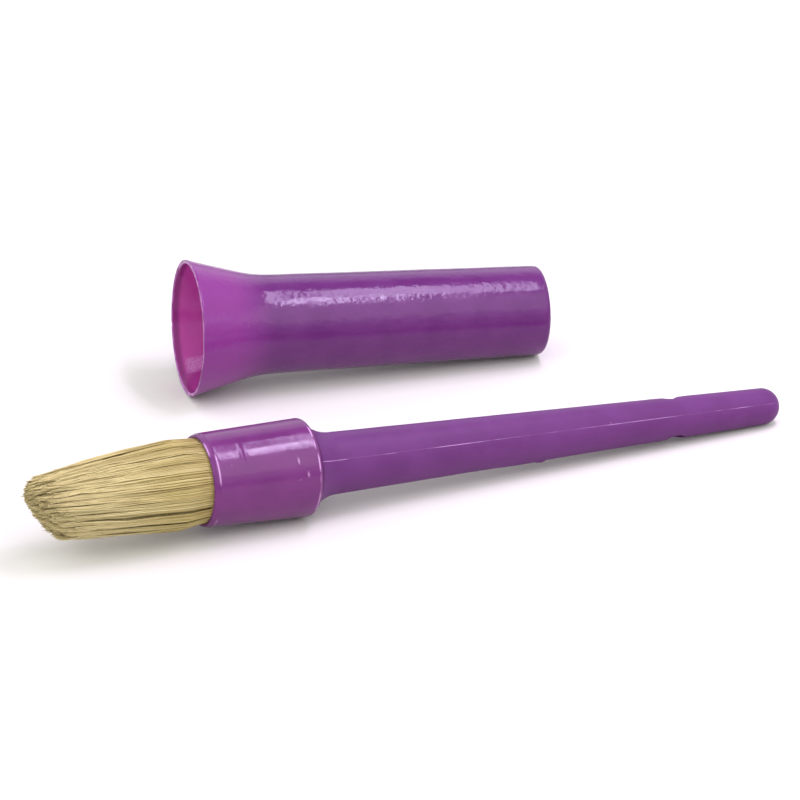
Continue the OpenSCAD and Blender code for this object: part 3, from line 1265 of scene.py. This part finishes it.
@dataclass(frozen=True)
class Cap:
    """The thin cap: a drafted tube with a flared mouth and a closed, rounded end."""

    spine: Spine
    length: float = 119.4
    wall: float = 1.2
    mouth_radius: float = 22.35
    flare_length: float = 22.4
    throat_radius: float = 16.27
    end_radius: float = 14.75
    end_bend: float = 1.6
    blend: float = 0.6
    burrs: tuple[Bump, ...] = (
        Bump(0, 31, 0.4, 2, 0.5),
        Bump(0, 52, 0.35, 2, 0.4),
        Bump(0, 58, 0.3, 2, 0.5),
        Bump(0, 89, 0.45, 2, 0.5),
        Bump(0, 97, 0.25, 2, 0.9),
        Bump(0, 205, 0.3, 2, 0.6),
        Bump(0, 250, 0.3, 2, 0.5),
    )
    marks: tuple[Bump, ...] = (
        Bump(48, 62, 0.1, 0.35, 0.7),
        Bump(47.6, 69, 0.08, 0.35, 0.8),
        Bump(113.5, 92, 0.12, 1.0, 0.4),
        Bump(115.5, 34, 0.05, 0.6, 1.6),
    )
    finish: CapPlastic = CapPlastic(
        name="thin_violet",
        deep=(0.109, 0.0195, 0.126),
        bright=(0.125, 0.025, 0.143),
        scuffed=(0.3, 0.13, 0.34),
        gloss=0.12,
        dull=0.2,
        skin=0.012,
        lumps=0.11,
        shine=0.24,
        scatter=0.1,
    )

    def tube(self, at: float) -> float:
        """The tube's outer radius without the flare."""
        share = (at - self.flare_length) / (self.length - self.flare_length)
        return self.throat_radius + (self.end_radius - self.throat_radius) * share

    def radius(self, at: float) -> float:
        """The outer radius with the flare."""
        ramp = (self.mouth_radius - self.tube(0)) * (1 - at / self.flare_length) / self.blend
        return self.tube(at) + self.blend * math.log1p(math.exp(ramp))

    def outline(self) -> list[Station]:
        """Out along the outside to the closed end's middle, and back along the inside."""
        flare = [0.35 + i * 0.5 for i in range(60)]
        straight = [31 + i * 0.9 for i in range(96)]
        last = self.length - self.end_bend
        sides = [at for at in flare + straight if at < last - 0.3]
        outside = [Station(at, self.radius(at)) for at in sides]
        bend = arc(last, self.end_radius - self.end_bend, self.end_bend, 0, 90, 10)
        disc = [Station(self.length, r) for r in (11.5, 9.0, 6.0, 3.0, 0.0)]
        lip = [Station(0.12, self.radius(0) - 0.1), Station(0.0, self.radius(0) - 0.35)]
        inner_lip = [
            Station(0.0, self.radius(0) - self.wall + 0.3, True),
            Station(0.1, self.radius(0) - self.wall + 0.08, True),
        ]
        inner_end = self.length - self.wall
        within = [at for at in reversed(sides) if at < inner_end - 1.2]
        back = [Station(at, self.radius(at) - self.wall, True) for at in within]
        inner_disc = [Station(inner_end, r, True) for r in (0.0, 3.0, 6.0, 9.0, 11.0, 12.4)]
        round_in = [Station(inner_end - 0.25, 13.2, True), Station(inner_end - 0.8, 13.52, True)]
        closed_side = [*inner_disc, *round_in]
        return [*closed_side, *back, *reversed(inner_lip), *lip, *outside, *bend, *disc]

    def relief(self, station: Station, turn: float) -> tuple[float, float]:
        """The wall's unevenness, the marks on it, and burrs round the rim."""
        at, radius = station.at, station.radius
        if radius < 1:
            return 0.0, 0.0
        place = self.spine.place(at, radius, math.radians(turn)) / MM
        out = 0.05 * ripple(place, 13, 1) + 0.022 * ripple(place, 5, 6)
        if station.inner:
            out = 0.05 * ripple(place, 7, 3)
        elif at > self.flare_length:
            out += sum(mark.height_at(at, turn, radius) for mark in self.marks)
        if at < 0.3:
            rough = 0.06 * max(0.0, ripple(Vector((turn / 3, radius, 0)), 1.0, 8))
            burr = sum(b.height_at(0, turn, radius) for b in self.burrs)
            return out - burr * 0.3, -rough + burr * 0.5
        return out, 0.0

    def inside(self, station: Station, turn: float) -> float:
        """1 on the inner wall."""
        return 1.0 if station.inner and station.at > 0.2 else 0.0

    def band(self, station: Station, turn: float) -> float:
        """Painted shade: a darker band just inside the mouth, and over the whole bottom of the inside."""
        if not station.inner:
            return 0.0
        lip = min(1.0, max(0.0, (2.6 - station.at) / 0.9))
        low = min(1.0, max(0.0, (24 - angle_gap(turn, 180)) / 5))
        return max(lip, 0.6 * low)

    def patch_light(self, station: Station, turn: float) -> float:
        """A grainy patch of painted light low down on the inside."""
        if not station.inner:
            return 0.0
        along = min(station.at - 2.6, 14 - station.at) / 0.5
        across = (10 - angle_gap(turn, -152)) / 3
        return min(1.0, max(0.0, along)) * min(1.0, max(0.0, across))

    def flare(self, station: Station, turn: float) -> float:
        """1 where the mouth flares, fading out where the tube starts; it places the flare's painted light."""
        share = min(1.0, max(0.0, (station.at - 10) / 18))
        return 1 - share * share * (3 - 2 * share)

    def rim(self, station: Station, turn: float) -> float:
        """Where the rim's edge shows its broken line of painted highlight."""
        if station.at > 0.2:
            return 0.0
        return min(1.0, max(0.15, 0.55 + 1.1 * ripple(Vector((turn / 7, 0, 0)), 1.0, 5)))

    def build(self) -> bpy.types.Object:
        """Turns the cap."""
        marks = {
            Mark.INSIDE: self.inside,
            Mark.FLARE_LIGHT: self.flare,
            Mark.PAINTED_SHADE: self.band,
            Mark.PATCH_LIGHT: self.patch_light,
            Mark.RIM_HIGHLIGHT: self.rim,
        }
        piece = turned("cap_shell", self.spine, self.outline(), columns(220), self.relief, marks)
        piece.data.materials.append(self.finish.material())
        return piece


# What is hidden in the ferrule


@dataclass(frozen=True)
class Fillers:
    """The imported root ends, the setting resin and the core plug, kept as the frame has them."""

    finishes: Mapping[str, Grainy] = field(
        default_factory=lambda: {
            "bristle_roots": Grainy(
                "root_ends", (0.16, 0.1, 0.035), (0.5, 0.38, 0.17), (0.2, 3, 3), 0.7, 0.25
            ),
            "setting_resin": Grainy(
                "cast_resin", (0.12, 0.045, 0.012), (0.3, 0.13, 0.035), (1, 1, 1), 0.25, 0.05
            ),
            "core_plug": Grainy(
                "turned_beech", (0.36, 0.2, 0.085), (0.6, 0.4, 0.2), (0.12, 2, 2), 0.6, 0.12
            ),
        }
    )

    def dress(self, nodes: Mapping[str, bpy.types.Object]) -> None:
        """Gives each node its finish."""
        for name, finish in self.finishes.items():
            piece = nodes[name]
            material = finish.material()
            if not piece.material_slots:
                piece.data.materials.append(None)
            for slot in piece.material_slots:
                slot.link = "OBJECT"
                slot.material = material
            log.info("%s: kept, in %s", name, finish.name)


# The studio


@dataclass(frozen=True)
class Softbox:
    """A rectangular studio light that faces a point."""

    name: str
    place: tuple[float, float, float]
    aim: tuple[float, float, float]
    width: float
    height: float
    watts: float
    tint: Colour = (1.0, 1.0, 1.0)

    def hang(self) -> None:
        """Adds the light."""
        data = bpy.data.lights.new(self.name, "AREA")
        data.shape, data.size, data.size_y = "RECTANGLE", self.width, self.height
        data.energy, data.color = self.watts, self.tint
        lamp = bpy.data.objects.new(self.name, data)
        bpy.context.scene.collection.objects.link(lamp)
        facing = (Vector(self.aim) - Vector(self.place)).to_track_quat("-Z", "Y")
        lamp.rotation_euler = facing.to_euler()
        lamp.location = self.place


@dataclass(frozen=True)
class Studio:
    """A pale table, soft lights and the camera."""

    azimuth: float = -23.93
    elevation: float = 25.0
    distance: float = 1.95157
    target: tuple[float, float, float] = (0.02442, 0.01094, 0.0)
    lens: float = 270.0
    floor_near: float = -3.2
    floor_far: float = 3.2
    floor_half_width: float = 2.2
    ceiling: float = 1.32
    horizon: float = 0.5
    shade: float = 0.85
    shaded_way: tuple[float, float, float] = (0.36, 0.32, 0.876)
    lights: tuple[Softbox, ...] = (
        Softbox("front_box", (0.35, -1.0, 0.95), (0.0, 0.0, 0.0), 1.2, 0.9, 4.6),
        Softbox("left_box", (-0.75, -0.35, 0.6), (-0.05, -0.02, 0.0), 0.4, 0.4, 1.5),
        Softbox("brush_strip", (0.182, -0.18, 0.60), (0.182, -0.18, 0.0), 0.036, 0.19, 0.9, LAVENDER),
        Softbox("cap_strip", (0.256, 0.0, 0.60), (0.256, 0.0, 0.0), 0.115, 0.28, 1.15, LAVENDER),
    )

    def set_up(self) -> None:
        """Lays the table, hangs the lights and places the camera."""
        self.lay_table()
        for light in self.lights:
            light.hang()
        self.light_room()
        self.place_camera()

    def lay_table(self) -> None:
        """A wide pale table top with a faint tooth."""
        top = bmesh.new()
        corners = (
            (-self.floor_half_width, self.floor_near),
            (self.floor_half_width, self.floor_near),
            (self.floor_half_width, self.floor_far),
            (-self.floor_half_width, self.floor_far),
        )
        top.faces.new([top.verts.new((x, y, 0.0)) for x, y in corners])
        mesh = bpy.data.meshes.new("table_top")
        top.to_mesh(mesh)
        top.free()
        table = bpy.data.objects.new("table_top", mesh)
        bpy.context.scene.collection.objects.link(table)
        graph, shader = open_material("pale_board")
        tooth = graph.grain(object_place(graph), 0.02, 3.0)
        colour = graph.mix(tooth, (0.70, 0.69, 0.64), (0.73, 0.72, 0.67))
        graph.tree.links.new(colour.socket, shader.inputs["Base Color"])
        shader.inputs["Roughness"].default_value = 0.75
        shader.inputs["Specular IOR Level"].default_value = 0.2
        mesh.materials.append(bpy.data.materials["pale_board"])

    def light_room(self) -> None:
        """A white ceiling with one dim patch, and a dimmer band all round at table height."""
        world = bpy.data.worlds.new("studio_room")
        bpy.context.scene.world = world
        world.use_nodes = True
        graph = Graph(world.node_tree)
        toward = graph.out(graph.node("ShaderNodeTexCoord"), "Generated")
        rise = graph.parts(toward)[2]
        behind = graph.vector("DOT_PRODUCT", toward, self.shaded_way)
        shaded = graph.fade(behind, 0.9, 0.985, 0.0, self.shade)
        strength = graph.fade(rise, 0.15, 0.27, self.horizon, self.ceiling) * (1.0 - shaded)
        graph.tree.links.new(strength.socket, world.node_tree.nodes["Background"].inputs["Strength"])
        world.node_tree.nodes["Background"].inputs["Color"].default_value = (0.98, 0.98, 1.03, 1)

    def place_camera(self) -> None:
        """A long lens that looks down on the pieces."""
        turn, rise = math.radians(self.azimuth), math.radians(self.elevation)
        back = Vector((math.sin(turn) * math.cos(rise), -math.cos(turn) * math.cos(rise), math.sin(rise)))
        data = bpy.data.cameras.new("camera")
        data.sensor_width, data.lens, data.clip_end = 36.0, self.lens, 20.0
        camera = bpy.data.objects.new("camera", data)
        bpy.context.scene.collection.objects.link(camera)
        camera.location = Vector(self.target) + back * self.distance
        camera.rotation_euler = back.to_track_quat("Z", "Y").to_euler()
        bpy.context.scene.camera = camera
        bpy.context.scene.view_settings.view_transform = "Standard"


# Where the frame puts the pieces


def brush_spine(packed: Mapping[str, object], to_pivot: float = 12.0) -> Spine:
    """The brush's centre line, from the bristles' joint and the hanging hole.

    Args:
        to_pivot: How far the joint is outside the ferrule's mouth.

    Returns:
        The line, with up along the hole.
    """
    hole = next(m for m in packed["record"]["mounts"] if m["name"] == "hang_hole")
    joint = next(j for j in packed["joints"] if j["name"] == "bristle_bend")
    pivot = Vector(joint["pos_m"])
    along = (Vector(hole["pos_m"]) - pivot).normalized()
    up = Vector(hole["axis"])
    up = (up - along * up.dot(along)).normalized()
    return Spine(pivot + along * to_pivot * MM, along, up)


def upright(spine: Spine) -> Spine:
    """The same line with its up as near straight up as it can be."""
    sky = Vector((0, 0, 1))
    return Spine(spine.mouth, spine.along, (sky - spine.along * sky.dot(spine.along)).normalized())


def cap_spine(packed: Mapping[str, object], length: float) -> Spine:
    """The cap's centre line, from the flat face on its closed end.

    Args:
        length: How long the cap is.

    Returns:
        The line, from the mouth to the closed end.
    """
    face = next(m for m in packed["record"]["mounts"] if m["name"] == "cap_end_face")
    along = Vector(face["axis"]).normalized()
    return upright(Spine(Vector(face["pos_m"]) - along * length * MM, along, Vector((0, 0, 1))))


def main() -> None:
    """Builds every piece in order and hands it to the frame."""
    logging.basicConfig(level=logging.INFO, format="%(name)s: %(message)s")
    line = brush_spine(frame)
    finish_piece(Handle(line).build(), "brush", "handle", "handle")
    finish_piece(Ferrule(line).build(), "brush", "ferrule", "ferrule")
    tuft = Tuft(upright(line))
    tuft.attach(tuft.build())
    cap = Cap(cap_spine(frame, Cap.length))
    finish_piece(cap.build(), "cap", "cap", "cap")
    Fillers().dress(frame["nodes"])
    Studio().set_up()


if __name__ == "__main__":
    main()
